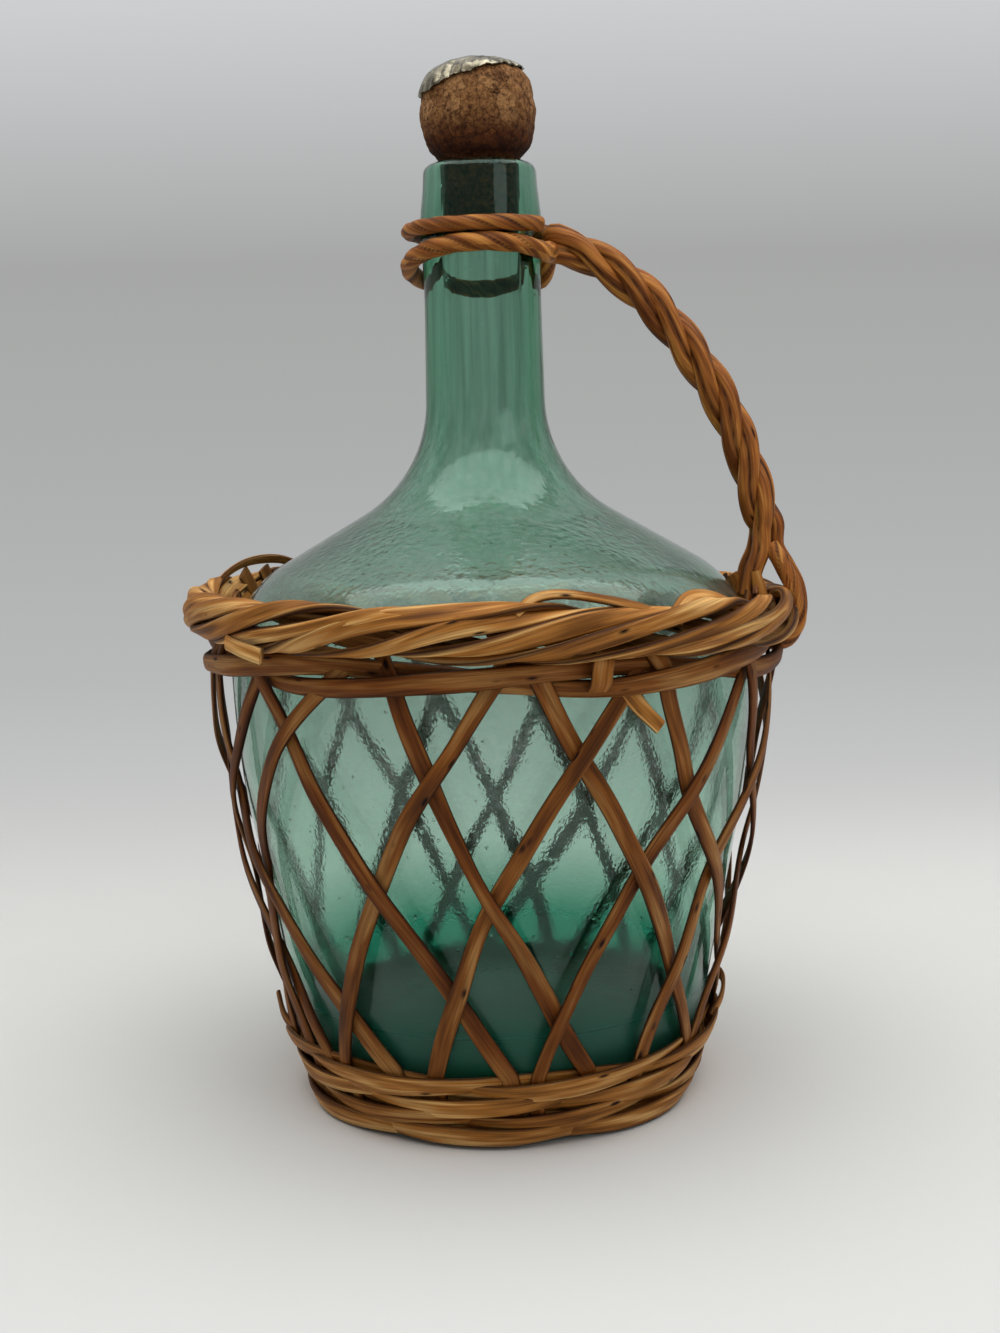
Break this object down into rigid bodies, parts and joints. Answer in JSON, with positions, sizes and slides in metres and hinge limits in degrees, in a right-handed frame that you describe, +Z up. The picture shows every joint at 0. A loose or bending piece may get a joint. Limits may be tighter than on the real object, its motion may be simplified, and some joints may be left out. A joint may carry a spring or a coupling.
{
  "type": "wicker demijohn",
  "caption": "Glass demijohn with a long neck standing in an open-lattice willow basket, with a twisted willow carrying handle and a mushroom cork that pulls out.",
  "frame": {"origin": "centre of the basket's foot, on the surface it stands on", "axes": "+Z up along the bottle's axis, +X towards the handle, -Y towards the front"},
  "size_m": [0.173, 0.17, 0.2834],
  "materials": {
    "green_glass": "gloss",
    "willow": "satin",
    "brown_willow": "satin",
    "cork": "matte",
    "tin_plate": "satin"
  },
  "bodies": {
    "basket": {"glass_bottle": "green_glass", "right_stake_01": "willow", "left_stake_01": "willow", "right_stake_02": "willow", "left_stake_02": "willow", "right_stake_03": "willow", "left_stake_03": "willow", "right_stake_04": "willow", "left_stake_04": "willow", "right_stake_05": "willow", "left_stake_05": "willow", "right_stake_06": "willow", "left_stake_06": "willow", "right_stake_07": "willow", "left_stake_07": "willow", "right_stake_08": "willow", "left_stake_08": "willow", "right_stake_09": "willow", "left_stake_09": "willow", "right_stake_10": "willow", "left_stake_10": "willow", "right_stake_11": "willow", "left_stake_11": "willow", "right_stake_12": "willow", "left_stake_12": "willow", "right_stake_13": "willow", "left_stake_13": "willow", "right_stake_14": "willow", "left_stake_14": "willow", "base_row_01_a": "willow", "base_row_01_b": "willow", "base_row_02_a": "willow", "base_row_02_b": "willow", "base_row_03_a": "willow", "base_row_03_b": "willow", "base_row_04_a": "willow", "base_row_04_b": "willow", "waist_strand_a": "willow", "waist_strand_b": "willow", "rim_strand_01": "willow", "rim_strand_02": "willow", "rim_strand_03": "willow", "base_stick_01": "willow", "base_stick_02": "willow", "base_stick_03": "willow", "base_stick_04": "willow", "base_stick_05": "willow", "base_stick_06": "willow", "base_weaver_01": "willow", "base_weaver_02": "willow", "base_weaver_03": "willow", "base_weaver_04": "willow", "handle_long_rod": "brown_willow", "handle_short_rod": "brown_willow"},
    "stopper": {"cork_stopper": "cork", "stopper_cap": "tin_plate"}
  },
  "joints": [
    {"name": "stopper_pull", "type": "slide", "parent": "basket", "child": "stopper", "axis": [0, 0, 1], "range_m": [0, 0.06]}
  ]
}
